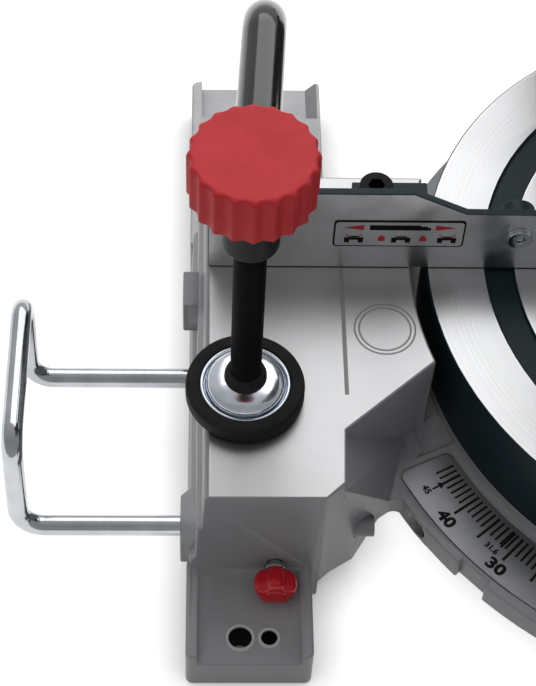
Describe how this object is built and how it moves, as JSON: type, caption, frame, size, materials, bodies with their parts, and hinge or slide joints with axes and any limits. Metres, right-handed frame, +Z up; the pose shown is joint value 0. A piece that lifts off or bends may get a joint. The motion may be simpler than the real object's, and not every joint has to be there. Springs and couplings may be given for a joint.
{
  "type": "sliding compound mitre saw",
  "caption": "Sliding compound mitre saw: cast base with turntable and scale, split fence, hold-down clamp, wire table extensions, tilting rail-mounted saw head with guarded blade.",
  "frame": {"origin": "on the bench plane under the turntable axis, at the centre of the bench bolt holes", "axes": "+X to the operator's right, +Y to the rear, +Z up"},
  "size_m": [0.665, 0.8488, 0.5407],
  "materials": {
    "cast_grey": "satin cast and machined aluminium",
    "fence_alu": "machined face, dark painted edge",
    "teal_cast": "dark teal paint with machined lands",
    "head_cast": "satin cast aluminium",
    "bright_steel": "bright zinc plate",
    "plain_steel": "turned steel",
    "dark_steel": "blackened steel",
    "black_bar": "gloss black",
    "black_plastic": "fine grain",
    "red_plastic": "moulded gloss",
    "teal_plastic": "fine grain",
    "rubber": "moulded",
    "scale_plate": "printed satin plate",
    "bronze": "sintered",
    "copper_core": "wound and varnished",
    "blade_steel": "ground",
    "guard_plastic": "satin"
  },
  "bodies": {
    "base": {"base_casting": "cast_grey", "mitre_scale": "scale_plate", "glide_ring": "black_plastic", "pivot_bolt": "plain_steel", "pivot_nut": "plain_steel", "fence_screws": "dark_steel"},
    "left_fence": {"left_fence": "fence_alu", "left_fence_label": "scale_plate", "left_face_screw": "bright_steel"},
    "right_fence": {"right_fence": "fence_alu", "right_face_screw": "bright_steel"},
    "left_extension": {"left_extension": "bright_steel"},
    "right_extension": {"right_extension": "bright_steel"},
    "left_lock": {"left_lock_knob": "red_plastic", "left_lock_screw": "bright_steel"},
    "right_lock": {"right_lock_knob": "red_plastic", "right_lock_screw": "bright_steel"},
    "clamp_arm": {"clamp_arm": "black_bar", "clamp_collar": "dark_steel"},
    "clamp_foot": {"clamp_pad": "rubber", "clamp_dish": "bright_steel"},
    "clamp_spindle": {"clamp_spindle": "dark_steel", "clamp_knob": "red_plastic"},
    "turntable": {"turntable": "teal_cast", "kerf_insert": "black_plastic", "insert_screws": "plain_steel", "mitre_pointer": "red_plastic", "bevel_pivot": "plain_steel", "bevel_scale": "scale_plate"},
    "mitre_lock": {"mitre_rod": "plain_steel", "mitre_knob": "red_plastic"},
    "detent": {"detent_lever": "black_plastic"},
    "bevel_arm": {"bevel_arm": "head_cast", "rail_bushings": "bronze"},
    "bevel_lock": {"bevel_lever": "black_plastic"},
    "rail_lock": {"rail_lock_knob": "red_plastic"},
    "carriage": {"slide_rails": "bright_steel", "rail_end_plate": "black_plastic", "head_bracket": "head_cast", "head_pivot_pin": "plain_steel", "head_spring": "plain_steel"},
    "saw_head": {"head_arm": "head_cast", "belt_cover": "black_plastic", "upper_guard": "head_cast", "motor_housing": "teal_plastic", "motor_field": "copper_core", "arbor_bearings": "plain_steel", "drive_belt": "rubber", "handle": "black_plastic", "dust_port": "black_plastic", "cord_gland": "rubber"},
    "trigger": {"trigger": "red_plastic"},
    "lock_off": {"lock_off_button": "red_plastic"},
    "lower_guard": {"lower_guard": "guard_plastic"},
    "blade": {"saw_blade": "blade_steel", "blade_flange": "plain_steel", "arbor_bolt": "dark_steel", "arbor_shaft": "plain_steel"},
    "rotor": {"motor_rotor": "copper_core"}
  },
  "joints": [
    {"name": "mitre_swing", "type": "hinge", "parent": "base", "child": "turntable", "pos_m": [0, 0, 0.085], "axis": [0, 0, -1], "range_deg": [-47, 47]},
    {"name": "mitre_knob_turn", "type": "hinge", "parent": "turntable", "child": "mitre_lock", "pos_m": [0, -0.33, 0.0305], "axis": [0, 1, 0], "range_deg": [-180, 180]},
    {"name": "detent_press", "type": "hinge", "parent": "turntable", "child": "detent", "pos_m": [-0.04, -0.276, 0.05], "axis": [1, 0, 0], "range_deg": [0, 8], "stiffness_Nm_per_rad": 1.5, "springref_deg": -14.32},
    {"name": "bevel_tilt", "type": "hinge", "parent": "turntable", "child": "bevel_arm", "pos_m": [0, 0.2004, 0.085], "axis": [0, -1, 0], "range_deg": [0, 47]},
    {"name": "bevel_lever_turn", "type": "hinge", "parent": "bevel_arm", "child": "bevel_lock", "pos_m": [0, 0.2624, 0.085], "axis": [0, 1, 0], "range_deg": [-45, 45]},
    {"name": "rail_slide", "type": "slide", "parent": "bevel_arm", "child": "carriage", "axis": [0, 1, 0], "range_m": [-0.19, 0]},
    {"name": "rail_knob_turn", "type": "hinge", "parent": "bevel_arm", "child": "rail_lock", "pos_m": [0.07, 0.2504, 0.217], "axis": [1, 0, 0], "range_deg": [-180, 180]},
    {"name": "head_chop", "type": "hinge", "parent": "carriage", "child": "saw_head", "pos_m": [0, 0.1824, 0.275], "axis": [-1, 0, 0], "range_deg": [-40, 0], "stiffness_Nm_per_rad": 14, "springref_deg": 91.67},
    {"name": "guard_swing", "type": "hinge", "parent": "saw_head", "child": "lower_guard", "pos_m": [0, -0.03187, 0.33078], "axis": [-1, 0, 0], "range_deg": [0, 138]},
    {"name": "blade_spin", "type": "hinge", "parent": "saw_head", "child": "blade", "pos_m": [0, -0.03187, 0.33078], "axis": [1, 0, 0], "continuous": true},
    {"name": "rotor_spin", "type": "hinge", "parent": "saw_head", "child": "rotor", "pos_m": [0, 0.00813, 0.38778], "axis": [1, 0, 0], "continuous": true},
    {"name": "trigger_pull", "type": "slide", "parent": "saw_head", "child": "trigger", "axis": [0, 0.3285, 0.9445], "range_m": [0, 0.004], "stiffness_N_per_m": 600, "springref_m": -0.004},
    {"name": "lock_off_press", "type": "slide", "parent": "saw_head", "child": "lock_off", "axis": [1, 0, 0], "range_m": [0, 0.003], "stiffness_N_per_m": 600, "springref_m": -0.004},
    {"name": "left_fence_slide", "type": "slide", "parent": "base", "child": "left_fence", "axis": [-1, 0, 0], "range_m": [0, 0.014]},
    {"name": "right_fence_slide", "type": "slide", "parent": "base", "child": "right_fence", "axis": [1, 0, 0], "range_m": [0, 0.014]},
    {"name": "left_extension_slide", "type": "slide", "parent": "base", "child": "left_extension", "axis": [-1, 0, 0], "range_m": [-0.052, 0.015]},
    {"name": "right_extension_slide", "type": "slide", "parent": "base", "child": "right_extension", "axis": [1, 0, 0], "range_m": [-0.052, 0.015]},
    {"name": "left_lock_turn", "type": "hinge", "parent": "base", "child": "left_lock", "pos_m": [-0.2175, -0.125, 0.03], "axis": [0, 1, 0], "range_deg": [-180, 180]},
    {"name": "right_lock_turn", "type": "hinge", "parent": "base", "child": "right_lock", "pos_m": [0.2175, -0.125, 0.03], "axis": [0, 1, 0], "range_deg": [-180, 180]},
    {"name": "clamp_swing", "type": "hinge", "parent": "base", "child": "clamp_arm", "pos_m": [-0.224, 0.05, 0.085], "axis": [0, 0, -1], "range_deg": [-35, 35]},
    {"name": "clamp_travel", "type": "slide", "parent": "clamp_arm", "child": "clamp_foot", "axis": [0, 0, 1], "range_m": [0, 0.075]},
    {"name": "clamp_screw", "type": "hinge", "parent": "clamp_foot", "child": "clamp_spindle", "pos_m": [-0.2312, -0.06778, 0.2], "axis": [0, 0, 1], "range_deg": [0, 9000]}
  ],
  "couplings": [
    {"joint": "guard_swing", "follows": "head_chop", "ratio": -3.45},
    {"joint": "rotor_spin", "follows": "blade_spin", "ratio": 2.6667},
    {"joint": "clamp_screw", "follows": "clamp_travel", "rad_per_m": 2094.4}
  ]
}
